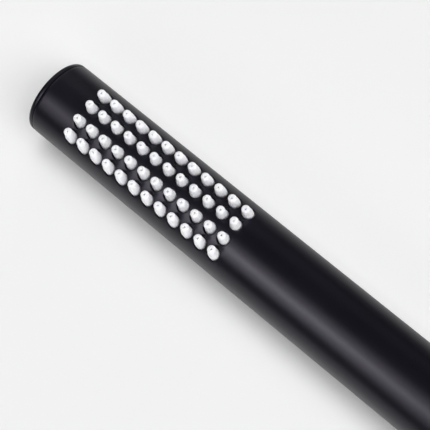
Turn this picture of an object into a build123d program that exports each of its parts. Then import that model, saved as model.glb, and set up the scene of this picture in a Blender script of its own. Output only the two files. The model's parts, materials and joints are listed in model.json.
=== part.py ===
from build123d import *
import math
import os

# Slim stick hand shower: one straight round tube is both handle and spray head.
# Frame: origin at the centre of the hose inlet's sealing face. +X runs along the
# tube towards the end cap, +Z is the way the nozzles point. Millimetres.

os.makedirs("parts", exist_ok=True)

# ---------------------------------------------------------------- driving sizes
length = 210.0            # sealing face to the end cap's outer face
tube_r = 12.5             # 25 mm tube
tube_bore_r = 10.8
tube_x0 = 28.8            # hose end of the tube
tube_x1 = 208.1           # cap end of the tube
tube_end_long, tube_end_deep = 0.9, 0.25   # its long, shallow rounding
mouth_r = 11.6            # counterbore that takes the end cap's seal
mouth_x = 204.55

# nozzle field: four rows of twelve, all pointing along +Z
nozzle_pitch = 5.209
nozzle_cols = 12
nozzle_x_first = 192.83   # column nearest the end cap
row_y_outer = 7.64
row_y_inner = 2.77
tip_z_outer = 15.07
tip_z_inner = 16.53
nozzle_hole_r = 2.0       # holes in the tube
nozzle_base_r = 1.68
nozzle_bore_tip_r = 0.25
nozzle_bore_base_r = 0.95
liner_hole_r = 1.75

# end cap
cap_lip_r = 12.45
cap_lip_w = 1.83
cap_lip_round = 1.2       # outer edge of the lip
cap_lip_inner_long, cap_lip_inner_deep = 0.15, 0.15
cap_neck_r = 11.9         # shows as the dark ring between tube and cap
cap_thread_r = 10.77      # screw thread M23 x 1.5, its crests left out
cap_thread_x0 = 199.6

# G1/2 male thread at the hose end
g_major_r = 10.4775
g_minor_r = 9.3155
g_pitch = 1.814
g_crest = 0.302
g_first = 0.45
g_crests = 5
shoulder_x = 10.3

# collar at the hose end
collar_x1 = 28.0
collar_register_r = 11.8

# spray cartridge
cart_r = 10.75
liner_in_r = 9.7
mat_out_r = 9.6
mat_in_r = 8.4
split_z = 2.0
cart_x0 = 121.5
cart_x1 = 199.3

# inner pipe
pipe_r = 4.5
pipe_in_r = 3.5
pipe_x0 = 32.3
pipe_x1 = 125.9

# check valve
valve_travel = 2.5

EPS = 0.02


# ---------------------------------------------------------------- helpers
def turned(*pts):
    """A solid turned about the X axis from (x, radius) points."""
    return revolve(make_face(Polyline(*[(x, r) for x, r in pts], close=True)), Axis.X, 360)


def rod(x0, x1, r):
    return Pos((x0 + x1) / 2, 0, 0) * Rot(0, 90, 0) * Cylinder(r, x1 - x0)


def ring(x0, x1, r0, r1):
    return turned((x0, r0), (x1, r0), (x1, r1), (x0, r1))


def block(x0, x1, y0, y1, z0, z1):
    return Pos((x0 + x1) / 2, (y0 + y1) / 2, (z0 + z1) / 2) * Box(x1 - x0, y1 - y0, z1 - z0)


def o_ring(x0, x1, r0, r1, rnd=0.55):
    """A seal as it sits squeezed in its groove: a rounded section between r0 and r1."""
    face = make_face(Polyline((x0, r0), (x1, r0), (x1, r1), (x0, r1), close=True))
    face = fillet(face.vertices(), rnd)
    return revolve(face, Axis.X, 360)


def save(part, name):
    part.label = name
    export_step(part, f"parts/{name}.step")


def round_end(part, x, r, size, bevel=False):
    """Rounds (or bevels) the circular edge of radius r at x."""
    es = [
        e
        for e in part.edges().filter_by(GeomType.CIRCLE)
        if abs(e.arc_center.X - x) < 1e-3 and abs(e.radius - r) < 1e-3
    ]
    return chamfer(es, size) if bevel else fillet(es, size)


def eased(x, r, long, deep, steps=6):
    """Points of a quarter ellipse from the cylinder of radius r to the face at x."""
    return [
        (
            x + long * (1 - math.sin(math.radians(90 * k / steps))),
            r - deep * (1 - math.cos(math.radians(90 * k / steps))),
        )
        for k in range(steps + 1)
    ]


nozzle_xs = [nozzle_x_first - i * nozzle_pitch for i in range(nozzle_cols)]
rows = [
    (-row_y_outer, tip_z_outer),
    (-row_y_inner, tip_z_inner),
    (row_y_inner, tip_z_inner),
    (row_y_outer, tip_z_outer),
]

# ---------------------------------------------------------------- body tube
tube = turned(
    (tube_x0, tube_bore_r),
    (mouth_x, tube_bore_r),
    (mouth_x, mouth_r),
    (tube_x1, mouth_r),
    *reversed(eased(tube_x1, tube_r, -tube_end_long, tube_end_deep)),
    (tube_x0, tube_r),
)
tube = round_end(tube, tube_x0, tube_r, 0.3)
holes = [
    Pos(x, y, 10.0) * Cylinder(nozzle_hole_r, 12.0) for x in nozzle_xs for y, z in rows
]
tube = tube.cut(*holes)
save(tube, "body_tube")

# ---------------------------------------------------------------- end cap
cx = length - cap_lip_w
cap = turned(
    (cap_thread_x0, 8.4),
    (206.6, 8.4),
    (206.6, 0),
    (length, 0),
    (length, cap_lip_r),
    *eased(cx, cap_lip_r, cap_lip_inner_long, cap_lip_inner_deep),
    (cx, cap_neck_r),
    (tube_x1, cap_neck_r),
    (tube_x1, mouth_r - 0.05),
    (207.15, mouth_r - 0.05),
    (207.15, 9.95),
    (205.35, 9.95),
    (205.35, mouth_r - 0.05),
    (204.75, mouth_r - 0.05),
    (204.65, cap_thread_r),
    (cap_thread_x0 + 0.6, cap_thread_r),
    (cap_thread_x0, cap_thread_r - 0.6),
)
cap = round_end(cap, length, cap_lip_r, cap_lip_round)
# coin slot across the outer face
slot = block(length - 1.2, length + 1, -6.5, 6.5, -0.9, 0.9)
slot = fillet(slot.edges().filter_by(Axis.X), 0.85)
cap = cap - slot
save(cap, "end_cap")
save(o_ring(205.4, 207.1, 9.96, mouth_r - 0.02, 0.6), "end_cap_o_ring")

# ---------------------------------------------------------------- spray cartridge
above = block(cart_x0 - 5, cart_x1 + 5, -20, 20, split_z, 30)

liner = ring(127.6, 197.8, liner_in_r, cart_r) & above
liner = liner.cut(
    *[Pos(x, y, 9.0) * Cylinder(liner_hole_r, 14.0) for x in nozzle_xs for y, z in rows]
)
save(liner, "nozzle_liner")

# the silicone mat: an inverted tub with 48 nozzles that stand on it
mat = rod(130.0, 197.5, mat_out_r) & above


def nozzle(tip_z):
    z0 = split_z
    pts = [
        (0, z0),
        (nozzle_base_r, z0),
        (nozzle_base_r, tip_z - 5.4),
        (1.63, tip_z - 3.9),
        (1.575, tip_z - 3.5),
        (1.505, tip_z - 3.12),
        (1.45, tip_z - 2.6),
        (1.35, tip_z - 1.2),
        (1.319, tip_z - 0.711),
        (1.23, tip_z - 0.43),
        (1.062, tip_z - 0.201),
        (0.837, tip_z - 0.052),
        (0.58, tip_z),
        (0, tip_z),
    ]
    prof = make_face(Polyline(*[(r, 0, z) for r, z in pts], close=True))
    return revolve(prof, Axis.Z, 360)


def nozzle_bore(tip_z):
    pts = [
        (0, -1.0),
        (nozzle_bore_base_r, -1.0),
        (nozzle_bore_base_r, tip_z - 4.6),
        (nozzle_bore_tip_r, tip_z - 1.4),
        (nozzle_bore_tip_r, tip_z - 0.1),
        (nozzle_bore_tip_r + 0.16, tip_z + 0.01),
        (nozzle_bore_tip_r + 0.16, tip_z + 1.0),
        (0, tip_z + 1.0),
    ]
    prof = make_face(Polyline(*[(r, 0, z) for r, z in pts], close=True))
    return revolve(prof, Axis.Z, 360)


shape = {z: nozzle(z) for z in (tip_z_outer, tip_z_inner)}
bore = {z: nozzle_bore(z) for z in (tip_z_outer, tip_z_inner)}
mat = mat.fuse(*[Pos(x, y, 0) * shape[z] for x in nozzle_xs for y, z in rows])
mat = mat - rod(131.2, 196.3, mat_in_r)
mat = mat.cut(*[Pos(x, y, 0) * bore[z] for x in nozzle_xs for y, z in rows])
save(mat, "nozzle_mat")

# diffuser plate in the ledge of the chassis
plate = block(131.5, 196.0, -7.7, 7.7, 1.0, split_z)
plate = plate.cut(
    *[
        Pos(nozzle_xs[0] - (i + 0.5) * nozzle_pitch, y, 1.5) * Cylinder(1.3, 4)
        for i in range(nozzle_cols - 1)
        for y in (-3.6, 3.6)
    ]
)
save(plate, "diffuser_plate")

chassis = rod(cart_x0, cart_x1, cart_r) - block(127.5, 197.9, -20, 20, split_z, 30)
chassis = chassis - block(129.0, 195.0, -6.6, 6.6, -5.5, split_z - 1.0)
chassis = chassis - block(131.4, 196.1, -7.8, 7.8, 1.0, 3.0)
chassis = chassis - rod(cart_x0 - 1, 126.0, pipe_r + 0.03)
chassis = chassis - rod(125.0, 129.5, pipe_in_r)
chassis = chassis - ring(122.2, 124.2, 4.0, 6.0)
chassis = chassis - ring(123.5, 125.5, 9.3, 12.0)
save(chassis, "spray_chassis")
save(o_ring(123.55, 125.45, 9.31, tube_bore_r - 0.01), "chassis_o_ring")

# ---------------------------------------------------------------- inner pipe
pipe = ring(pipe_x0, pipe_x1, pipe_in_r, pipe_r)
save(pipe, "inner_pipe")
seals = [
    o_ring(38.05, 39.95, pipe_r + 0.01, 5.99),
    o_ring(122.25, 124.15, pipe_r + 0.01, 5.99),
]
save(Compound(children=seals), "inner_pipe_o_rings")


def spacer(x):
    w = 6.0
    s = ring(x, x + w, pipe_r + 0.05, 6.0) + ring(x, x + w, 9.7, cart_r)
    for a in (90, 210, 330):
        s = s + Rot(a, 0, 0) * block(x, x + w, 5.6, 10.1, -1.0, 1.0)
    return s


save(Compound(children=[spacer(62.0), spacer(95.0)]), "pipe_spacers")

# ---------------------------------------------------------------- hose inlet
outer = [(0, 7.6), (0, g_major_r - 0.45)]
flank = (g_pitch - 2 * g_crest) / 2
for i in range(g_crests):
    x = g_first + i * g_pitch
    outer += [(x, g_major_r), (x + g_crest, g_major_r)]
    outer += [(x + g_crest + flank, g_minor_r)]
    if i < g_crests - 1:
        outer += [(x + 2 * g_crest + flank, g_minor_r)]
outer += [
    (9.0, 9.2),
    (shoulder_x, 9.2),
    (shoulder_x, 11.4),
    (12.3, 11.4),
    (12.3, 10.9),
    (tube_x0, 10.9),
    (tube_x0, tube_bore_r - EPS),
    (40.6, tube_bore_r - EPS),
    (40.6, 9.3),
    (42.6, 9.3),
    (42.6, tube_bore_r - EPS),
    (44.3, tube_bore_r - EPS),
    (44.8, 10.3),
    (44.8, pipe_r + 0.03),
    (40.0, pipe_r + 0.03),
    (40.0, 6.0),
    (38.0, 6.0),
    (38.0, pipe_r + 0.03),
    (32.2, pipe_r + 0.03),
    (32.2, pipe_in_r),
    (26.2, pipe_in_r),
    (26.2, 7.0),
    (3.2, 7.0),
    (3.2, 7.6),
]
connector = turned(*outer)
# socket for a 10 mm hexagon key behind the check valve
hexa = Rot(0, 90, 0) * extrude(RegularPolygon(5.0, 6, major_radius=False), 4.0)
connector = connector - Pos(26.1, 0, 0) * hexa
save(connector, "inlet_connector")
save(o_ring(40.65, 42.55, 9.31, tube_bore_r - 0.01), "connector_o_ring")

collar = turned(
    (shoulder_x, 11.45),
    (12.3, 11.45),
    (12.3, 10.95),
    (tube_x0, 10.95),
    (tube_x0, collar_register_r),
    (collar_x1, collar_register_r),
    (collar_x1, tube_r),
    (shoulder_x, tube_r),
)
collar = round_end(collar, shoulder_x, tube_r, 0.5)
collar = round_end(collar, collar_x1, tube_r, 0.3)
save(collar, "base_collar")

# ---------------------------------------------------------------- strainer
s_ring = turned(
    (1.0, 6.2), (2.4, 6.2), (2.4, 6.9), (3.1, 6.9), (3.1, 7.3), (2.9, 7.55), (1.2, 7.55), (1.0, 7.35)
)
save(s_ring, "strainer_ring")
mesh = rod(2.42, 2.77, 6.85)
step = 1.25
cells = []
for i in range(-5, 6):
    for j in range(-5, 6):
        if math.hypot(i * step, j * step) < 5.6:
            cells.append(Pos(2.6, i * step, j * step) * Box(2.0, 0.85, 0.85))
mesh = mesh.cut(*cells)
save(mesh, "strainer_mesh")

# ---------------------------------------------------------------- flow limiter
lim = turned(
    (3.6, 0), (3.4, 0.3), (3.4, 2.0), (3.6, 2.2), (6.4, 2.2), (6.4, 4.7), (3.4, 4.7), (3.4, 6.75), (3.6, 6.95), (8.4, 6.95), (8.6, 6.75), (8.6, 0)
)
lim = lim.cut(
    *[Rot(a, 0, 0) * Pos(7.5, 3.45, 0) * Rot(0, 90, 0) * Cylinder(0.75, 4.0) for a in range(0, 360, 45)]
)
save(lim, "flow_limiter_body")
save(Pos(5.42, 0, 0) * Rot(0, 90, 0) * Torus(3.45, 0.95), "flow_limiter_o_ring")

# ---------------------------------------------------------------- check valve
v_body = turned(
    (9.0, 3.6),
    (12.5, 3.6),
    (12.5, 5.2),
    (25.9, 5.2),
    (26.1, 5.4),
    (26.1, 6.75),
    (25.9, 6.95),
    (11.7, 6.95),
    (11.7, 5.6),
    (9.7, 5.6),
    (9.7, 6.95),
    (9.2, 6.95),
    (9.0, 6.75),
)
save(v_body, "check_valve_body")
save(o_ring(9.75, 11.65, 5.61, 6.99, 0.5), "check_valve_o_ring")

poppet = turned(
    (11.6, 0),
    (11.8, 1.2),
    (12.5, 2.2),
    (13.5, 2.2),
    (13.5, 4.6),
    (14.3, 4.6),
    (14.5, 4.4),
    (14.5, 2.0),
    (15.2, 1.1),
    (23.2, 1.1),
    (23.4, 0.9),
    (23.4, 0),
)
save(poppet, "check_valve_poppet")
save(ring(12.5, 13.49, 2.21, 4.5), "check_valve_seal")

guide = ring(22.0, 24.6, 1.17, 2.0) + ring(22.0, 24.6, 4.3, 5.15)
for a in (90, 210, 330):
    guide = guide + Rot(a, 0, 0) * block(22.0, 24.0, 1.7, 4.6, -0.6, 0.6)
save(guide, "check_valve_retainer")

coil_r = 3.0
wire_r = 0.28
coil_x0 = 14.85
coil_x1 = 21.65
coil = Helix(
    pitch=(coil_x1 - coil_x0) / 5.0,
    height=coil_x1 - coil_x0,
    radius=coil_r,
    center=(coil_x0, 0, 0),
    direction=(1, 0, 0),
)
spring = sweep(Plane(origin=coil @ 0, z_dir=coil % 0) * Circle(wire_r), path=coil)
save(spring, "check_valve_spring")
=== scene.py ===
import bpy, bmesh, json, math
import numpy as np
from mathutils import Matrix, Vector


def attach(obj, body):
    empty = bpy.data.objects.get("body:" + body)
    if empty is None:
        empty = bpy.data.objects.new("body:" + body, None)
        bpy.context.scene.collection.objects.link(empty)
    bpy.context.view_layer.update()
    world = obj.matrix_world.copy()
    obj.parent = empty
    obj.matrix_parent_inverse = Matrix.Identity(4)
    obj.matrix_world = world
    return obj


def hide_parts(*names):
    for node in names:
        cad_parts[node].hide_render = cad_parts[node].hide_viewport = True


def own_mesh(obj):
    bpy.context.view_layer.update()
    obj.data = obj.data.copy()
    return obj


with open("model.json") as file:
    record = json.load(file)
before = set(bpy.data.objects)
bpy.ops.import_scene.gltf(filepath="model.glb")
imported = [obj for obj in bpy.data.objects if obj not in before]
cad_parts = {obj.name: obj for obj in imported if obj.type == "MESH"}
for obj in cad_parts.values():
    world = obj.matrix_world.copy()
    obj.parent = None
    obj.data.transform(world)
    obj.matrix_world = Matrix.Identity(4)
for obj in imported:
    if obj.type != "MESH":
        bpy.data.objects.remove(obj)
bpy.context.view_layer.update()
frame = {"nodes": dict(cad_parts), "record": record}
scene = bpy.context.scene
MM = 0.001

# ------------------------------------------------------------------ sizes, mm
LENGTH = 210.0
TUBE_R, BORE_R = 12.5, 10.8
TUBE_X0, TUBE_X1 = 28.8, 208.10
MOUTH_R, MOUTH_X = 11.6, 204.55
PITCH, COLS, X_FIRST = 5.209, 12, 192.83
ROWS = [(-7.64, 15.07), (-2.77, 16.53), (2.77, 16.53), (7.64, 15.07)]
BAND_Y = [-10.1, -5.205, 0.0, 5.205, 10.1]
HOLE_R, HOLE_FILLET = 2.0, 0.22
FIELD = [X_FIRST - (COLS - 0.5) * PITCH + k * PITCH for k in range(COLS + 1)]
AXIS_Z = 0.0


# ------------------------------------------------------------------ mesh helpers
class Build:
    """Vertices and faces gathered in millimetres."""

    def __init__(self):
        self.v, self.f = [], []

    def add(self, x, y, z):
        self.v.append((x * MM, y * MM, z * MM))
        return len(self.v) - 1

    def quad(self, *idx):
        idx = [k for n, k in enumerate(idx) if k not in idx[:n]]
        if len(idx) > 2:
            self.f.append(tuple(idx))

    def bridge(self, a, b, closed=True, flip=False):
        n = len(a)
        for i in range(n if closed else n - 1):
            j = (i + 1) % n
            q = (a[i], a[j], b[j], b[i])
            self.quad(*(reversed(q) if flip else q))

    def fan(self, ring, flip=False):
        self.f.append(tuple(reversed(ring) if flip else ring))

    def object(self, name, sharp=35.0, merge=0.0):
        me = bpy.data.meshes.new(name)
        me.from_pydata(self.v, [], self.f)
        bm = bmesh.new()
        bm.from_mesh(me)
        if merge:
            bmesh.ops.remove_doubles(bm, verts=bm.verts, dist=merge * MM)
            bmesh.ops.dissolve_degenerate(bm, dist=merge * MM, edges=bm.edges)
        loose = [v for v in bm.verts if not v.link_faces]
        bmesh.ops.delete(bm, geom=loose, context="VERTS")
        bmesh.ops.recalc_face_normals(bm, faces=bm.faces)
        if bm.calc_volume(signed=True) < 0:
            bmesh.ops.reverse_faces(bm, faces=bm.faces)
        open_edges = sum(1 for e in bm.edges if len(e.link_faces) != 2)
        if open_edges:
            print("MESH", name, "has", open_edges, "open edges")
        bm.to_mesh(me)
        bm.free()
        me.shade_smooth()
        me.set_sharp_from_angle(angle=math.radians(sharp))
        ob = bpy.data.objects.new(name, me)
        scene.collection.objects.link(ob)
        return ob


def arc(cx, cr, rad, a0, a1, n):
    """Points (x, r) of an arc in a turned profile."""
    return [
        (cx + rad * math.cos(math.radians(a0 + (a1 - a0) * i / n)),
         cr + rad * math.sin(math.radians(a0 + (a1 - a0) * i / n)))
        for i in range(n + 1)
    ]


def lathe_ring(b, x, r, n):
    return [b.add(x, r * math.sin(2 * math.pi * k / n), r * math.cos(2 * math.pi * k / n)) for k in range(n)]


def lathe(name, profile, n=128, closed=True, sharp=35.0):
    """A closed turned mesh about the X axis from a closed (x, r) profile."""
    b = Build()
    rings = [lathe_ring(b, x, r, n) for x, r in profile]
    for i in range(len(rings) - 1):
        b.bridge(rings[i], rings[i + 1])
    if closed:
        b.bridge(rings[-1], rings[0])
    else:
        b.fan(rings[0])
        b.fan(rings[-1], flip=True)
    return b.object(name, sharp)


def spread(a, b, n):
    return [a + (b - a) * i / n for i in range(n + 1)]


def cell_nodes(m):
    """Perimeter nodes of an m by m cell and the angle each gets on the hole's circle."""
    nodes = [(m, k) for k in range(m)] + [(m - k, m) for k in range(m)]
    nodes += [(0, m - k) for k in range(m)] + [(k, 0) for k in range(m)]
    angles = [math.radians(-45 + 90.0 * k / m) for k in range(4 * m)]
    return nodes, angles


def shell_grid(b, radius, xs, thetas, cells, closed_theta):
    """A grid of nodes on a cylinder, without the nodes inside perforated cells.
    cells is a set of (i0, j0, m). Returns the node table and adds the plain faces."""
    hollow, skip = set(), set()
    for i0, j0, m in cells:
        for i in range(i0, i0 + m):
            for j in range(j0, j0 + m):
                skip.add((i, j))
        for i in range(i0 + 1, i0 + m):
            for j in range(j0 + 1, j0 + m):
                hollow.add((i, j))
    nt = len(thetas)
    table = {}
    for i, x in enumerate(xs):
        for j, t in enumerate(thetas):
            if (i, j) not in hollow:
                table[i, j] = b.add(x, radius * math.sin(t), radius * math.cos(t))
    for i in range(len(xs) - 1):
        for j in range(nt if closed_theta else nt - 1):
            if (i, j) in skip:
                continue
            k = (j + 1) % nt
            b.quad(table[i, j], table[i + 1, j], table[i + 1, k], table[i, k])
    return table


def hole_rings(b, radius, xs, thetas, table, cell, centre, circle_r, mids):
    """Rings from a cell's perimeter to a circle of circle_r (seen along Z) on the cylinder."""
    i0, j0, m = cell
    nodes, angles = cell_nodes(m)
    nt = len(thetas)
    per = [table[i0 + u, (j0 + v) % nt] for u, v in nodes]
    pos = [(xs[i0 + u], thetas[(j0 + v) % nt]) for u, v in nodes]
    xc, yc = centre
    rings = [per]
    for s in mids + [1.0]:
        ring = []
        for (px, pt), a in zip(pos, angles):
            cx, cy = xc + circle_r * math.cos(a), yc + circle_r * math.sin(a)
            ct = math.asin(cy / radius)
            x, t = px + (cx - px) * s, pt + (ct - pt) * s
            ring.append(b.add(x, radius * math.sin(t), radius * math.cos(t)))
        rings.append(ring)
    for p, q in zip(rings, rings[1:]):
        b.bridge(p, q, flip=False)
    return rings[-1], angles


def field_xs(before, after, m, xb=FIELD):
    xs = list(before)
    first = len(xs) - 1
    for k in range(COLS):
        xs += spread(xb[k], xb[k + 1], m)[1:]
    xs += list(after)[1:]
    return xs, first


def band_thetas(radius, bands, m):
    out = [math.asin(bands[0] / radius)]
    for y0, y1 in zip(bands, bands[1:]):
        out += spread(math.asin(y0 / radius), math.asin(y1 / radius), m)[1:]
    return out


# ------------------------------------------------------------------ body tube
def make_tube():
    b = Build()
    m, rest = 10, 88
    cells_i = None

    def thetas_for(radius):
        t = band_thetas(radius, BAND_Y, m)
        t += spread(t[-1], t[0] + 2 * math.pi, rest)[1:-1]
        return t

    e = 0.3   # rounding at the hose end
    g, gd = 0.90, 0.25   # rounding at the cap end, long and shallow
    before = spread(TUBE_X0 + e, FIELD[0], 34)
    after = spread(FIELD[-1], TUBE_X1 - g, 6)
    xs, first = field_xs(before, after, m)
    cells = [(first + k * m, r * m, m) for k in range(COLS) for r in range(4)]
    to = thetas_for(TUBE_R)
    outer = shell_grid(b, TUBE_R, xs, to, cells, True)
    before_i = spread(TUBE_X0, FIELD[0], 34)
    after_i = spread(FIELD[-1], MOUTH_X, 6)
    xi, _ = field_xs(before_i, after_i, m)
    ti = thetas_for(BORE_R)
    inner = shell_grid(b, BORE_R, xi, ti, cells, True)
    nt = len(to)
    for k in range(COLS):
        xc = (FIELD[k] + FIELD[k + 1]) / 2
        for r, (yc, tip) in enumerate(ROWS):
            cell = (first + k * m, r * m, m)
            top, ang = hole_rings(b, TUBE_R, xs, to, outer, cell, (xc, yc), HOLE_R + HOLE_FILLET, [0.35, 0.7])
            low, _ = hole_rings(b, BORE_R, xi, ti, inner, cell, (xc, yc), HOLE_R, [0.5])
            prev = top
            for s in range(1, 5):
                q = math.pi / 2 * s / 4
                rr = HOLE_R + HOLE_FILLET * (1 - math.sin(q))
                dep = HOLE_FILLET * (1 - math.cos(q))
                ring = []
                for a in ang:
                    x, y = xc + rr * math.cos(a), yc + rr * math.sin(a)
                    ring.append(b.add(x, y, math.sqrt(TUBE_R ** 2 - y * y) - dep))
                b.bridge(prev, ring)
                prev = ring
            b.bridge(prev, low)
    # ends, column by column
    def ends(i_out, i_in, steps):
        prev = [outer[i_out, j] for j in range(nt)]
        for x, r, f in steps:
            ring = []
            for j in range(nt):
                t = to[j] + (ti[j] - to[j]) * f
                ring.append(b.add(x, r * math.sin(t), r * math.cos(t)))
            b.bridge(prev, ring)
            prev = ring
        b.bridge(prev, [inner[i_in, j] for j in range(nt)])

    def rnd(cx, cr, rad, a0, a1, n):
        return arc(cx, cr, rad, a0, a1, n)[1:]

    hose = [(x, r, 0.0) for x, r in rnd(TUBE_X0 + e, TUBE_R - e, e, 90, 180, 5)]
    hose += [(TUBE_X0, BORE_R + 0.9, 0.5), (TUBE_X0, BORE_R + 0.15, 1.0), (TUBE_X0 + 0.001, BORE_R + 0.002, 1.0)][:2]
    ends(0, 0, hose)
    capend = [(TUBE_X1 - g + g * math.sin(q), TUBE_R - gd + gd * math.cos(q), 0.0) for q in (math.radians(a) for a in range(10, 91, 10))]
    capend += [(TUBE_X1, MOUTH_R + 0.1, 0.8), (TUBE_X1 - 0.1, MOUTH_R, 0.9), (MOUTH_X + 0.05, MOUTH_R, 1.0), (MOUTH_X, MOUTH_R - 0.05, 1.0)]
    ends(len(xs) - 1, len(xi) - 1, capend)
    return b.object("tube_shell", 38.0)


# ------------------------------------------------------------------ nozzle mat
LEAN = [0.05, 0.25, -0.12, 0.13]
ASIDE = [-0.03, -0.01, -0.03, -0.08]


def ease(t):
    t = min(max(t, 0.0), 1.0)
    return t * t * (3 - 2 * t)


def make_mat():
    b = Build()
    m = 8
    ro, ri, zs = 9.6, 8.4, 2.0
    yo, yi = math.sqrt(ro * ro - zs * zs), math.sqrt(ri * ri - zs * zs)
    to = band_thetas(ro, [-yo, -5.205, 0.0, 5.205, yo], m)
    ti = band_thetas(ri, [-yi, -5.205, 0.0, 5.205, yi], m)
    xs, first = field_xs(spread(130.0, FIELD[0], 3), spread(FIELD[-1], 197.5, 2), m)
    xi, _ = field_xs(spread(131.2, FIELD[0], 3), spread(FIELD[-1], 196.3, 2), m)
    cells = [(first + k * m, r * m, m) for k in range(COLS) for r in range(4)]
    outer = shell_grid(b, ro, xs, to, cells, False)
    inner = shell_grid(b, ri, xi, ti, cells, False)
    nt = len(to)
    for k in range(COLS):
        xc = (FIELD[k] + FIELD[k + 1]) / 2
        for r, (yc, tip) in enumerate(ROWS):
            cell = (first + k * m, r * m, m)
            side = abs(yc) > 5
            base_r, bore_r = 1.68, (0.5 if side else 0.9)
            top, ang = hole_rings(b, ro, xs, to, outer, cell, (xc, yc), base_r, [0.5])
            low, _ = hole_rings(b, ri, xi, ti, inner, cell, (xc, yc), bore_r, [0.6])
            prof = [(base_r, max(tip - 6.0, 8.5 if side else 10.1)), (1.672, tip - 5.0), (1.645, tip - 4.4), (1.61, tip - 3.9)]
            prof += [(1.585, tip - 3.68), (1.55, tip - 3.5), (1.515, tip - 3.32), (1.48, tip - 3.12), (1.447, tip - 2.88), (1.42, tip - 2.6)]
            prof += [(1.388, tip - 2.15), (1.352, tip - 1.65), (1.318, tip - 1.2)]
            # soft egg-shaped end, a shallow dish in its middle and the outlet
            cr, ra, rc = 0.58, 0.72, 0.86
            for q in (4, 14, 24, 34, 44, 54, 64, 73, 82, 90):
                q = math.radians(q)
                prof.append((cr + ra * math.cos(q), tip - rc + rc * math.sin(q)))
            prof += [(0.54, tip - 0.022), (0.47, tip - 0.056), (0.39, tip - 0.104), (0.31, tip - 0.162), (0.245, tip - 0.24), (0.208, tip - 0.38)]
            prof += [(0.225, tip - 1.4), (min(0.55, bore_r), tip - 3.0), (bore_r, tip - 5.0), (bore_r, 8.9 if not side else 6.2)]
            prev = top
            for rr, z in prof:
                # the soft nozzle leans a little: its tip is in place, its foot sits to one side in the hole
                dy = (ASIDE[r] + LEAN[r] * ease((tip - z - 0.7) / 2.9)) * (1 - ease((tip - z - 4.8) / 1.2))
                ring = [b.add(xc + rr * math.cos(a), yc + dy + rr * math.sin(a), z) for a in ang]
                b.bridge(prev, ring)
                prev = ring
            b.bridge(prev, low)
    nx = len(xs)
    # rim along both sides, the two end walls outside and inside
    for j in (0, nt - 1):
        b.bridge([outer[i, j] for i in range(nx)], [inner[i, j] for i in range(nx)], closed=False, flip=(j == 0))
    for i, flip in ((0, True), (nx - 1, False)):
        b.fan([outer[i, j] for j in range(nt)], flip)
        b.fan([inner[i, j] for j in range(nt)], not flip)
        b.quad(outer[i, 0], outer[i, nt - 1], inner[i, nt - 1], inner[i, 0])
    return b.object("nozzle_mat_soft", 50.0)


# ------------------------------------------------------------------ end cap
def stadium(b, x, hy, hz, n):
    """n points round a slot with round ends, seen along X, spaced by angle at the centre."""
    half = hy - hz
    total = 4 * half + 2 * math.pi * hz
    pts = []
    for k in range(n):
        a = 2 * math.pi * k / n
        # same start and turn as lathe_ring: y = sin, z = cos
        sy, sz = math.sin(a), math.cos(a)
        # squeeze the angle so that the long sides get enough points
        w = 0.55
        ang = math.atan2(sy, sz * w)
        dy, dz = math.sin(ang), math.cos(ang)
        if abs(dz) > 1e-9 and abs(hz * dy / dz) <= half:
            y, z = hz * dy / abs(dz), math.copysign(hz, dz)
        else:
            c = math.copysign(half, dy)
            bq = c * dy
            disc = bq * bq - (c * c - hz * hz)
            t = bq + math.sqrt(max(disc, 0))
            y, z = t * dy, t * dz
        pts.append(b.add(x, y, z))
    return pts


def make_cap():
    b = Build()
    n = 160
    x1 = LENGTH
    xl = LENGTH - 1.83
    lip_round, inner_round, inner_deep = 1.2, 0.15, 0.15
    prof = [(199.6, 8.4)]
    prof += [(199.6, 10.17), (200.2, 10.77), (204.65, 10.77), (204.75, 11.55), (205.35, 11.55), (205.35, 9.95), (207.15, 9.95), (207.15, 11.55), (TUBE_X1, 11.55), (TUBE_X1, 11.9), (xl, 11.9)]
    prof += [(xl + inner_round * (1 - math.cos(q)), 12.45 - inner_deep * (1 - math.sin(q))) for q in (math.radians(a) for a in range(0, 91, 10))]
    prof += arc(x1 - lip_round, 12.45 - lip_round, lip_round, 90, 0, 14)
    rings = [lathe_ring(b, x, r, n) for x, r in prof]
    for p, q in zip(rings, rings[1:]):
        b.bridge(p, q)
    # end face: from the rounded rim to the coin slot
    edge = rings[-1]
    ring_out = edge
    slot_top = stadium(b, x1, 6.5 + 0.12, 0.9 + 0.12, n)
    for s in (0.25, 0.5, 0.75):
        ring = []
        for e, t in zip(edge, slot_top):
            p = Vector(b.v[e]).lerp(Vector(b.v[t]), s) / MM
            ring.append(b.add(x1, p.y, p.z))
        b.bridge(ring_out, ring)
        ring_out = ring
    b.bridge(ring_out, slot_top)
    prev = slot_top
    for s in range(1, 4):
        q = math.pi / 2 * s / 3
        k = 0.12 * (1 - math.sin(q))
        ring = stadium(b, x1 - 0.12 * (1 - math.cos(q)), 6.5 + k, 0.9 + k, n)
        b.bridge(prev, ring)
        prev = ring
    floor = stadium(b, x1 - 1.2, 6.5, 0.9, n)
    b.bridge(prev, floor)
    b.fan(floor, flip=True)
    # hollow inside
    inner = [lathe_ring(b, 206.6, 8.2, n), lathe_ring(b, 206.4, 8.4, n)]
    b.fan(inner[0])
    b.bridge(inner[0], inner[1])
    b.bridge(inner[1], rings[0])
    return b.object("end_cap_turned", 35.0)


# ------------------------------------------------------------------ base collar
def make_collar():
    prof = [(12.3, 11.45), (12.3, 10.95), (28.8, 10.95), (28.8, 11.8), (28.0, 11.8)]
    prof += arc(28.0 - 0.3, 12.2, 0.3, 0, 90, 5)
    prof += spread_pts(27.7, 10.8, 12.5, 16)[1:]
    prof += arc(10.3 + 0.5, 12.0, 0.5, 90, 180, 7)[1:]
    prof += [(10.3, 11.55), (10.4, 11.45)]
    return lathe("base_collar_turned", prof, 160)


def spread_pts(xa, xb, r, n):
    return [(x, r) for x in spread(xa, xb, n)]


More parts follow.
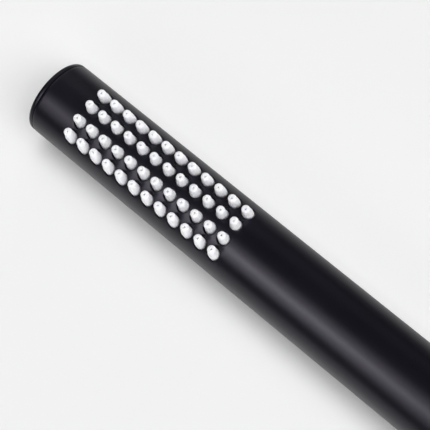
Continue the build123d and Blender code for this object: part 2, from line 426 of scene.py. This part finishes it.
# ------------------------------------------------------------------ inlet connector
def make_connector():
    b = Build()
    n = 144
    major, minor, p = 10.4775, 9.3155, 1.814
    xa, xb = 0.0, 9.05
    # Whitworth form: straight 55 degree flanks with rounded crest and root
    rad = 0.1373 * p
    prof = []
    half = p / 2
    for u in np.linspace(0, 1, 21)[:-1]:
        x = u * p
        d = abs(x - half)  # 0 at the crest, half a pitch at the root
        # smooth triangle wave limited to the true depth
        h = major - minor
        tri = 0.5 + (half / 2 - d) / (0.6403 * p / 0.9605) * 0.9605 / 1.0
        tri = min(max(tri, 0.0), 1.0)
        k = tri * tri * (3 - 2 * tri) * 0.35 + tri * 0.65
        prof.append((x, minor + h * k))
    cols = []
    for j in range(n):
        a = 2 * math.pi * j / n
        col = []
        for turn in range(-1, 7):
            for x, r in prof:
                col.append((-0.4 + (turn + a / (2 * math.pi)) * p + x, r))
        cols.append(col)

    def put(x, r, a):
        x = min(max(x, xa), xb)
        top = min(10.0275 + x, major)              # lead chamfer
        if x > 7.9:
            top = min(top, major - (x - 7.9) * 1.15)  # run-out into the undercut
        r = min(max(r, 0), top)
        if x <= xa + 1e-9:
            r = 10.0275 if r > 9.9 else r
            r = 10.0275
        if x >= xb - 1e-9:
            r = 9.15
        return b.add(x, r * math.cos(a), r * math.sin(a))

    start = [b.add(0, 10.0275 * math.cos(2 * math.pi * j / n), 10.0275 * math.sin(2 * math.pi * j / n)) for j in range(n)]
    end = [b.add(xb, 9.15 * math.cos(2 * math.pi * j / n), 9.15 * math.sin(2 * math.pi * j / n)) for j in range(n)]
    grid = [[put(x, r, 2 * math.pi * j / n) for x, r in cols[j]] for j in range(n)]
    rows = len(grid[0])
    per = len(prof)
    for j in range(n):
        nj = (j + 1) % n
        wrap = per if nj == 0 else 0
        for i in range(rows - 1):
            a0, a1 = grid[j][i], grid[j][i + 1]
            i0, i1 = i + wrap, i + 1 + wrap
            c0 = grid[nj][i0] if i0 < rows else end[nj]
            c1 = grid[nj][i1] if i1 < rows else end[nj]
            b.quad(a0, c0, c1, a1)
        b.quad(start[j], start[nj], grid[nj][wrap] if wrap else grid[nj][0], grid[j][0])
        if wrap:
            for i in range(wrap):
                b.quad(start[nj], grid[nj][i + 1], grid[nj][i])
        b.quad(grid[j][rows - 1], grid[nj][rows - 1] if not wrap else end[nj], end[nj], end[j])

    def ring(x, r):
        return [b.add(x, r * math.cos(2 * math.pi * j / n), r * math.sin(2 * math.pi * j / n)) for j in range(n)]

    rest = [(10.2, 9.15), (10.3, 9.25), (10.3, 11.3), (10.4, 11.4), (12.3, 11.4), (12.3, 10.9), (28.8, 10.9), (28.8, 10.78), (40.6, 10.78), (40.6, 9.3), (42.6, 9.3), (42.6, 10.78), (44.3, 10.78), (44.8, 10.3), (44.8, 4.53), (40.0, 4.53), (40.0, 6.0), (38.0, 6.0), (38.0, 4.53), (32.2, 4.53), (32.2, 3.5), (30.1, 3.5)]
    prev = end
    for x, r in rest:
        k = ring(x, r)
        b.bridge(prev, k)
        prev = k
    # hexagon socket between the throat and the valve seat
    def hexring(x):
        out = []
        for j in range(n):
            a = 2 * math.pi * j / n
            w = (a + math.pi / 6) % (math.pi / 3) - math.pi / 6
            rr = 5.0 / math.cos(w)
            out.append(b.add(x, rr * math.cos(a), rr * math.sin(a)))
        return out
    for k in (hexring(30.1), hexring(26.2), ring(26.2, 7.0), ring(3.2, 7.0), ring(3.2, 7.6), ring(0.35, 7.6), ring(0.1, 7.68), ring(0.0, 7.85), ring(0.0, 9.9)):
        b.bridge(prev, k)
        prev = k
    b.bridge(prev, start)
    return b.object("inlet_connector_threaded", 30.0, merge=0.002)


# ------------------------------------------------------------------ strainer
def make_strainer_ring():
    prof = [(1.0, 6.35), (1.05, 6.25), (1.2, 6.2), (2.4, 6.2), (2.4, 6.9), (3.1, 6.9), (3.1, 7.3), (2.9, 7.55), (1.25, 7.55), (1.1, 7.5), (1.0, 7.35)]
    return lathe("strainer_ring_moulded", prof, 128)


# ------------------------------------------------------------------ valve spring
def make_spring():
    """A compression spring with closed, ground end turns."""
    b = Build()
    coil, wire, x0, x1 = 3.0, 0.27, 14.86, 21.64
    turns, per, seg = 6.5, 56, 14
    n = int(turns * per)
    pitch = []
    for i in range(n + 1):
        t = turns * i / n
        pitch.append(0.085 + ease((min(t, turns - t) - 0.85) / 0.5) * 0.17)
    xs, total = [0.0], 0.0
    for i in range(n):
        total += (pitch[i] + pitch[i + 1]) / 2
        xs.append(total)
    prev = None
    for i in range(n + 1):
        a = 2 * math.pi * turns * i / n
        x = x0 + (x1 - x0) * xs[i] / total
        # the last quarter turn is ground flat, so the wire thins towards its end
        thin = 0.55 + 0.45 * ease(min(i, n - i) / (per * 0.6))
        ring = []
        for k in range(seg):
            q = 2 * math.pi * k / seg
            r = coil + wire * math.cos(q)
            ring.append(b.add(x + wire * thin * math.sin(q), r * math.sin(a), r * math.cos(a)))
        if prev is None:
            b.fan(ring)
        else:
            b.bridge(prev, ring)
        prev = ring
    b.fan(prev, flip=True)
    return b.object("valve_spring_wound", 40.0)


tube = make_tube()
mat = make_mat()
cap = make_cap()
collar = make_collar()
connector = make_connector()
s_ring = make_strainer_ring()
spring = make_spring()

for piece, node, body in (
    (tube, "body_tube", "housing"),
    (mat, "nozzle_mat", "housing"),
    (cap, "end_cap", "cap"),
    (collar, "base_collar", "housing"),
    (connector, "inlet_connector", "housing"),
    (s_ring, "strainer_ring", "housing"),
    (spring, "check_valve_spring", "housing"),
):
    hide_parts(node)
    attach(piece, body)
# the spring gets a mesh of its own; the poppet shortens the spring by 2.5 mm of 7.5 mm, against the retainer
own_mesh(spring)


# ------------------------------------------------------------------ materials
def new_material(name):
    m = bpy.data.materials.new(name)
    m.use_nodes = True
    nt = m.node_tree
    nt.nodes.clear()
    out = nt.nodes.new("ShaderNodeOutputMaterial")
    sh = nt.nodes.new("ShaderNodeBsdfPrincipled")
    nt.links.new(sh.outputs[0], out.inputs[0])
    return m, nt, sh


def coords(nt, scale=(1, 1, 1)):
    tc = nt.nodes.new("ShaderNodeTexCoord")
    mp = nt.nodes.new("ShaderNodeMapping")
    mp.inputs["Scale"].default_value = scale
    nt.links.new(tc.outputs["Object"], mp.inputs["Vector"])
    return mp.outputs["Vector"]


def noise(nt, vec, scale, detail=3.0, rough=0.55, dist=0.0):
    n = nt.nodes.new("ShaderNodeTexNoise")
    n.inputs["Scale"].default_value = scale
    n.inputs["Detail"].default_value = detail
    n.inputs["Roughness"].default_value = rough
    n.inputs["Distortion"].default_value = dist
    nt.links.new(vec, n.inputs["Vector"])
    return n.outputs["Fac"]


def map_range(nt, value, lo, hi, a=0.3, c=0.7):
    r = nt.nodes.new("ShaderNodeMapRange")
    r.inputs["From Min"].default_value = a
    r.inputs["From Max"].default_value = c
    r.inputs["To Min"].default_value = lo
    r.inputs["To Max"].default_value = hi
    nt.links.new(value, r.inputs["Value"])
    return r.outputs["Result"]


def mix_colour(nt, fac, c0, c1):
    m = nt.nodes.new("ShaderNodeMix")
    m.data_type = "RGBA"
    nt.links.new(fac, m.inputs["Factor"])
    m.inputs["A"].default_value = (*c0, 1)
    m.inputs["B"].default_value = (*c1, 1)
    return m.outputs["Result"]


def bump(nt, sh, height, strength, distance):
    bp = nt.nodes.new("ShaderNodeBump")
    bp.inputs["Strength"].default_value = strength
    bp.inputs["Distance"].default_value = distance
    nt.links.new(height, bp.inputs["Height"])
    nt.links.new(bp.outputs["Normal"], sh.inputs["Normal"])


def add(nt, a, b, wa=1.0, wb=1.0):
    m1 = nt.nodes.new("ShaderNodeMath")
    m1.operation = "MULTIPLY"
    m1.inputs[1].default_value = wa
    nt.links.new(a, m1.inputs[0])
    m2 = nt.nodes.new("ShaderNodeMath")
    m2.operation = "MULTIPLY_ADD"
    m2.inputs[1].default_value = wb
    nt.links.new(b, m2.inputs[0])
    nt.links.new(m1.outputs[0], m2.inputs[2])
    return m2.outputs[0]


BLACK_A, BLACK_B = (0.0044, 0.0041, 0.0074), (0.0053, 0.0050, 0.0087)


def satin_black(name, rough=(0.29, 0.33), ior=1.45):
    m, nt, sh = new_material(name)
    v = coords(nt)
    fine = noise(nt, v, 5200.0, 2.0, 0.5)
    mid = noise(nt, v, 1500.0, 3.0, 0.5)
    big = noise(nt, v, 60.0, 3.0, 0.5)
    col = mix_colour(nt, map_range(nt, big, 0, 1), BLACK_A, BLACK_B)
    nt.links.new(col, sh.inputs["Base Color"])
    r = map_range(nt, add(nt, mid, big, 0.5, 0.5), rough[0], rough[1])
    nt.links.new(r, sh.inputs["Roughness"])
    sh.inputs["IOR"].default_value = ior
    sh.inputs["Metallic"].default_value = 0.0
    sh.inputs["Specular Tint"].default_value = (0.925, 0.885, 1.0, 1.0)
    bump(nt, sh, add(nt, fine, mid, 0.4, 0.6), 0.10, 0.00004)
    return m


def silicone(name):
    m, nt, sh = new_material(name)
    v = coords(nt)
    fine = noise(nt, v, 3500.0, 3.0, 0.55)
    big = noise(nt, v, 220.0, 3.0, 0.5)
    col = mix_colour(nt, map_range(nt, big, 0, 1), (0.862, 0.859, 0.896), (0.882, 0.879, 0.916))
    nt.links.new(col, sh.inputs["Base Color"])
    nt.links.new(map_range(nt, fine, 0.42, 0.52), sh.inputs["Roughness"])
    sh.inputs["IOR"].default_value = 1.41
    sh.inputs["Subsurface Weight"].default_value = 0.9
    sh.inputs["Subsurface Radius"].default_value = (1.0, 0.95, 0.9)
    sh.inputs["Subsurface Scale"].default_value = 0.0019
    bump(nt, sh, fine, 0.03, 0.00002)
    return m


def plastic(name, c0, c1, rough=(0.45, 0.6), scale=2500.0):
    m, nt, sh = new_material(name)
    v = coords(nt)
    fine = noise(nt, v, scale, 3.0, 0.6)
    big = noise(nt, v, 150.0, 3.0, 0.5)
    nt.links.new(mix_colour(nt, map_range(nt, big, 0, 1), c0, c1), sh.inputs["Base Color"])
    nt.links.new(map_range(nt, fine, rough[0], rough[1]), sh.inputs["Roughness"])
    sh.inputs["IOR"].default_value = 1.48
    bump(nt, sh, fine, 0.15, 0.00004)
    return m


def turned_metal(name, c0, c1, rough=(0.16, 0.3)):
    """Turned surface: fine rings round the X axis."""
    m, nt, sh = new_material(name)
    v = coords(nt)
    rings = noise(nt, coords(nt, (1.0, 0.02, 0.02)), 9000.0, 3.0, 0.6)
    big = noise(nt, v, 240.0, 4.0, 0.55)
    nt.links.new(mix_colour(nt, map_range(nt, big, 0, 1), c0, c1), sh.inputs["Base Color"])
    nt.links.new(map_range(nt, add(nt, rings, big, 0.7, 0.3), rough[0], rough[1]), sh.inputs["Roughness"])
    sh.inputs["Metallic"].default_value = 1.0
    bump(nt, sh, rings, 0.12, 0.00003)
    return m


MAT = {
    "satin_black": satin_black("satin_black"),
    "satin_black_cap": satin_black("satin_black_cap"),
    "satin_black_collar": satin_black("satin_black_collar"),
    "white_silicone": silicone("white_silicone"),
    "black_plastic": plastic("black_plastic", (0.006, 0.006, 0.007), (0.010, 0.010, 0.011)),
    "grey_plastic": plastic("grey_plastic", (0.28, 0.29, 0.30), (0.34, 0.35, 0.36)),
    "pipe_plastic": plastic("pipe_plastic", (0.70, 0.71, 0.68), (0.76, 0.77, 0.75)),
    "brass_plain": turned_metal("brass_plain", (0.70, 0.50, 0.24), (0.78, 0.58, 0.30)),
    "seal_rubber": plastic("seal_rubber", (0.012, 0.012, 0.012), (0.02, 0.02, 0.02), (0.5, 0.65)),
    "strainer_steel": turned_metal("strainer_steel", (0.55, 0.55, 0.54), (0.65, 0.65, 0.64), (0.25, 0.4)),
    "limiter_plastic": plastic("limiter_plastic", (0.45, 0.60, 0.18), (0.50, 0.66, 0.22)),
    "valve_plastic": plastic("valve_plastic", (0.72, 0.72, 0.70), (0.80, 0.80, 0.78)),
    "poppet_plastic": plastic("poppet_plastic", (0.08, 0.20, 0.50), (0.10, 0.24, 0.56)),
    "spring_steel": turned_metal("spring_steel", (0.56, 0.56, 0.57), (0.64, 0.64, 0.65)),
}
slots = {s["node"]: s["material_slot"] for s in frame["record"]["subparts"]}
for node, ob in frame["nodes"].items():
    ob.data.materials.clear()
    ob.data.materials.append(MAT[slots[node]])
for piece, node in ((tube, "body_tube"), (mat, "nozzle_mat"), (cap, "end_cap"), (collar, "base_collar"), (connector, "inlet_connector"), (s_ring, "strainer_ring"), (spring, "check_valve_spring")):
    piece.data.materials.append(MAT[slots[node]])

# ------------------------------------------------------------------ floor
b = Build()
side, cells = 2400.0, 24
grid = [[b.add(-side / 2 + side * i / cells + 100, -side / 2 + side * j / cells, -12.5) for j in range(cells + 1)] for i in range(cells + 1)]
for i in range(cells):
    for j in range(cells):
        b.quad(grid[i][j], grid[i + 1][j], grid[i + 1][j + 1], grid[i][j + 1])
me = bpy.data.meshes.new("floor")
me.from_pydata(b.v, [], b.f)
floor = bpy.data.objects.new("floor", me)
scene.collection.objects.link(floor)
fm, fnt, fsh = new_material("floor_paint")
fv = coords(fnt)
fn = noise(fnt, fv, 12.0, 2.0, 0.5)
fnt.links.new(mix_colour(fnt, map_range(fnt, fn, 0, 1), (0.598, 0.598, 0.598), (0.602, 0.602, 0.602)), fsh.inputs["Base Color"])
fsh.inputs["Roughness"].default_value = 0.9
fsh.inputs["Specular IOR Level"].default_value = 0.0
fsh.inputs["Emission Color"].default_value = (1, 1, 1, 1)
# the floor glows a little, as a lit light table does: FLOOR_SEEN to the eye, a painted pool of light a little
# brighter round the handset (FLOOR_NEAR_PAINTED_GLOW), FLOOR_SOFT to matt surfaces and FLOOR_LIT to mirrored ones
FLOOR_SEEN, FLOOR_NEAR_PAINTED_GLOW, FLOOR_SOFT, FLOOR_LIT = 0.240, 0.070, 0.50, 0.034


def f_math(op, *args):
    m = fnt.nodes.new("ShaderNodeMath")
    m.operation = op
    for socket, a in zip(m.inputs, args):
        if isinstance(a, (int, float)):
            socket.default_value = a
        else:
            fnt.links.new(a, socket)
    return m.outputs[0]


f_xyz = fnt.nodes.new("ShaderNodeSeparateXYZ")
fnt.links.new(fv, f_xyz.inputs[0])
f_past = f_math("MAXIMUM", f_math("MAXIMUM", f_math("SUBTRACT", f_xyz.outputs["X"], 0.210), f_math("MULTIPLY", f_xyz.outputs["X"], -1.0)), 0.0)
f_dist = f_math("SQRT", f_math("MULTIPLY_ADD", f_past, f_past, f_math("MULTIPLY", f_xyz.outputs["Y"], f_xyz.outputs["Y"])))
f_painted_glow_falloff = f_math("EXPONENT", f_math("DIVIDE", f_math("SUBTRACT", 0.018, f_math("MAXIMUM", f_dist, 0.018)), 0.014))


def f_ramp(value, lo, hi):
    """0 at lo, 1 at hi, smooth between."""
    r = fnt.nodes.new("ShaderNodeMapRange")
    r.interpolation_type = "SMOOTHSTEP"
    r.inputs["From Min"].default_value = min(lo, hi)
    r.inputs["From Max"].default_value = max(lo, hi)
    r.inputs["To Min"].default_value = 0.0 if lo < hi else 1.0
    r.inputs["To Max"].default_value = 1.0 if lo < hi else 0.0
    fnt.links.new(value, r.inputs["Value"])
    return r.outputs["Result"]


f_y = f_xyz.outputs["Y"]
f_tail = f_ramp(f_xyz.outputs["X"], -0.005, 0.050)  # all of it fades out towards the hose end
# painted light: the floor seen by the eye glows more near the handset, fading out with distance
f_seen = f_math("MULTIPLY_ADD", f_math("MULTIPLY", f_painted_glow_falloff, f_tail), FLOOR_NEAR_PAINTED_GLOW, FLOOR_SEEN - FLOOR_LIT)
# painted light and painted shadow: the floor is paler on one side of the handset, and darker where the tube nearly
# touches the floor on the other
f_painted_light = f_math("MULTIPLY", f_ramp(f_dist, 0.085, 0.030), f_ramp(f_y, 0.010, -0.010))
f_painted_light = f_math("MULTIPLY", f_painted_light, f_ramp(f_xyz.outputs["X"], 0.246, 0.196))
f_seen = f_math("MULTIPLY_ADD", f_math("MULTIPLY", f_painted_light, f_tail), 0.036, f_seen)
f_painted_shadow = f_math("MULTIPLY", f_ramp(f_dist, 0.0210, 0.0105), f_ramp(f_y, -0.008, 0.008))
f_painted_shadow = f_math("MULTIPLY", f_painted_shadow, f_ramp(f_xyz.outputs["X"], 0.213, 0.204))
f_seen = f_math("MULTIPLY_ADD", f_math("MULTIPLY", f_painted_shadow, f_tail), -0.195, f_seen)
lp = fnt.nodes.new("ShaderNodeLightPath")
# painted reflection: to mirrored rays the floor glows brighter in a band round the handset
f_painted_reflection_band = f_math("EXPONENT", f_math("DIVIDE", f_math("SUBTRACT", 0.018, f_math("MAXIMUM", f_dist, 0.018)), 0.040))
f_rise = f_math("SUBTRACT", 1.0, f_math("EXPONENT", f_math("DIVIDE", f_math("SUBTRACT", 0.018, f_math("MAXIMUM", f_dist, 0.018)), 0.010)))
f_lit = f_math("MULTIPLY_ADD", f_math("MULTIPLY", f_painted_reflection_band, f_rise), 0.40, FLOOR_LIT)
f_gloss = f_math("MULTIPLY", lp.outputs["Is Glossy Ray"], f_math("SUBTRACT", f_lit, FLOOR_LIT))
f_soft = f_math("ADD", f_gloss, f_math("MULTIPLY_ADD", lp.outputs["Is Diffuse Ray"], FLOOR_SOFT - FLOOR_LIT, FLOOR_LIT))
fnt.links.new(f_math("MULTIPLY_ADD", lp.outputs["Is Camera Ray"], f_seen, f_soft), fsh.inputs["Emission Strength"])
me.materials.append(fm)

# ------------------------------------------------------------------ flag
# A black sheet like a photographer's flag lying on the floor past the end cap and, thinner, along the sides, painting a
# dark reflection. It is seen only as a reflection: the eye, the shadows and the matt surfaces don't notice it.
b = Build()
nx_, ny_ = 30, 30
fx, fy = spread(-300, 700, nx_), spread(-500, 300, ny_)
grid = [[b.add(x, y, -12.42) for y in fy] for x in fx]
for i in range(nx_):
    for j in range(ny_):
        b.quad(grid[i][j], grid[i + 1][j], grid[i + 1][j + 1], grid[i][j + 1])
me = bpy.data.meshes.new("flag")
me.from_pydata(b.v, [], b.f)
flag = bpy.data.objects.new("flag", me)
scene.collection.objects.link(flag)
flag.visible_camera = flag.visible_diffuse = flag.visible_shadow = False
flag.visible_transmission = flag.visible_volume_scatter = False
gm = bpy.data.materials.new("flag_painted_dark_reflection")
gm.use_nodes = True
gnt = gm.node_tree
gnt.nodes.clear()
g_out = gnt.nodes.new("ShaderNodeOutputMaterial")
g_mix = gnt.nodes.new("ShaderNodeMixShader")
g_clear = gnt.nodes.new("ShaderNodeBsdfTransparent")
g_black = gnt.nodes.new("ShaderNodeBsdfDiffuse")
g_black.inputs["Color"].default_value = (0.002, 0.002, 0.002, 1)
gnt.links.new(g_clear.outputs[0], g_mix.inputs[1])
gnt.links.new(g_black.outputs[0], g_mix.inputs[2])
gnt.links.new(g_mix.outputs[0], g_out.inputs[0])
g_xyz = gnt.nodes.new("ShaderNodeSeparateXYZ")
gnt.links.new(coords(gnt), g_xyz.inputs[0])


def g_math(op, *args):
    m = gnt.nodes.new("ShaderNodeMath")
    m.operation = op
    for socket, a in zip(m.inputs, args):
        if isinstance(a, (int, float)):
            socket.default_value = a
        else:
            gnt.links.new(a, socket)
    return m.outputs[0]


def g_ramp(value, lo, hi):
    """0 at lo, 1 at hi, smooth between."""
    r = gnt.nodes.new("ShaderNodeMapRange")
    r.interpolation_type = "SMOOTHSTEP"
    r.inputs["From Min"].default_value = min(lo, hi)
    r.inputs["From Max"].default_value = max(lo, hi)
    r.inputs["To Min"].default_value = 0.0 if lo < hi else 1.0
    r.inputs["To Max"].default_value = 1.0 if lo < hi else 0.0
    gnt.links.new(value, r.inputs["Value"])
    return r.outputs["Result"]


g_x, g_y = g_xyz.outputs["X"], g_xyz.outputs["Y"]
g_wedge = g_math("SUBTRACT", g_math("ABSOLUTE", g_y), g_math("MULTIPLY", g_math("SUBTRACT", g_x, 0.214), 0.55))
g_end = g_math("MULTIPLY", g_ramp(g_wedge, 0.012, 0.005), g_ramp(g_x, 0.210, 0.216))
g_side = g_math("MULTIPLY", g_math("MULTIPLY_ADD", g_ramp(g_y, -0.030, -0.130), 0.58, 0.30), g_math("MULTIPLY", g_ramp(g_y, -0.014, -0.022), g_math("MULTIPLY_ADD", g_ramp(g_x, 0.190, 0.110), 0.24, 0.76)))
g_far = g_math("MULTIPLY", g_math("MULTIPLY", g_ramp(g_y, 0.014, 0.022), g_ramp(g_x, 0.200, 0.235)), 0.24)
gnt.links.new(g_math("MAXIMUM", g_math("MAXIMUM", g_end, g_side), g_far), g_mix.inputs[0])
me.materials.append(gm)

# ------------------------------------------------------------------ light
# Soft lamps far away round a dark room. Azimuth from +X towards +Y, elevation, angular size in
# degrees, strength. A lamp of kind "fill" lights matt surfaces only, "glint" is only mirrored.
LAMPS = [
    ("key", "fill", 183, 48, 34, 1.500),
    ("key_low", "fill", 198, 28, 34, 0.370),
    ("key_side", "fill", 213, 48, 34, 0.280),
    ("top_front", "fill", 5, 55, 34, 0.250),
    ("top_right", "fill", 300, 68, 34, 0.410),
    ("top_back", "fill", 240, 68, 34, 0.300),
    ("low_left", "fill", 108, 28, 34, 0.640),
    ("low_back", "fill", 138, 28, 34, 0.214),
    ("low_right", "fill", 288, 28, 34, 0.168),
    ("strip_1", "glint", 79, 52, 18, 0.262),
    ("strip_2", "glint", 62, 52, 18, 0.255),
    ("strip_3", "glint", 45, 52, 18, 0.026),
    ("strip_low", "glint", 70, 37, 20, 0.190),
    ("strip_high", "glint", 63, 66, 26, 0.201),
    ("strip_wide", "glint", 93, 34, 26, 0.137),
    ("strip_top", "glint", 90, 75, 34, 0.116),
    ("rim_front", "glint", 340, 40, 34, 0.131),
    ("rim_right", "glint", 318, 28, 34, 0.113),
    ("rim_low", "glint", 310, 8, 26, 0.060),
    ("rim_back", "glint", 288, 28, 34, 0.044),
]
BACKDROP = 0.887


def lamp(name, kind, azimuth, elevation, size, strength):
    li = bpy.data.lights.new(name, "SUN")
    li.energy = strength
    li.angle = math.radians(size)
    ob = bpy.data.objects.new(name, li)
    scene.collection.objects.link(ob)
    a, e = math.radians(azimuth), math.radians(elevation)
    d = Vector((math.cos(a) * math.cos(e), math.sin(a) * math.cos(e), math.sin(e)))
    ob.rotation_mode = "QUATERNION"
    ob.rotation_quaternion = d.to_track_quat("Z", "Y")
    ob.visible_glossy = kind != "fill"
    ob.visible_diffuse = kind != "glint"
    return ob


for name, kind, az, el, size, strength in LAMPS:
    lamp(name, kind, az, el, size, strength)

# the room: dark for the object, pale behind the floor for the eye
AMBIENT, AMBIENT_SOFT = 0.004, 0.18
world = bpy.data.worlds.new("studio")
scene.world = world
world.use_nodes = True
wnt = world.node_tree
w_bg = wnt.nodes["Background"]
w_bg.inputs["Color"].default_value = (1, 1, 1, 1)
w_lp = wnt.nodes.new("ShaderNodeLightPath")
w_soft = wnt.nodes.new("ShaderNodeMath")
w_soft.operation = "MULTIPLY_ADD"
w_soft.inputs[1].default_value = AMBIENT_SOFT - AMBIENT
w_soft.inputs[2].default_value = AMBIENT
wnt.links.new(w_lp.outputs["Is Diffuse Ray"], w_soft.inputs[0])
w_st = wnt.nodes.new("ShaderNodeMath")
w_st.operation = "MULTIPLY_ADD"
w_st.inputs[1].default_value = BACKDROP - AMBIENT
wnt.links.new(w_lp.outputs["Is Camera Ray"], w_st.inputs[0])
wnt.links.new(w_soft.outputs[0], w_st.inputs[2])
wnt.links.new(w_st.outputs[0], w_bg.inputs["Strength"])

# ------------------------------------------------------------------ camera
cam_data = bpy.data.cameras.new("camera")
cam = bpy.data.objects.new("camera", cam_data)
scene.collection.objects.link(cam)
CAM_ROT = Matrix(((-0.7460177, 0.6045884, -0.2791603), (-0.6478685, -0.7558974, 0.0942633), (-0.1540260, 0.2511812, 0.9556066)))
cam.matrix_world = Matrix.Translation((0.03034247, 0.03670236, 0.39457344)) @ CAM_ROT.to_4x4()
cam_data.sensor_width = 36.0
cam_data.lens = 115.6788
cam_data.clip_start, cam_data.clip_end = 0.01, 10.0
scene.camera = cam
scene.view_settings.view_transform = "Standard"
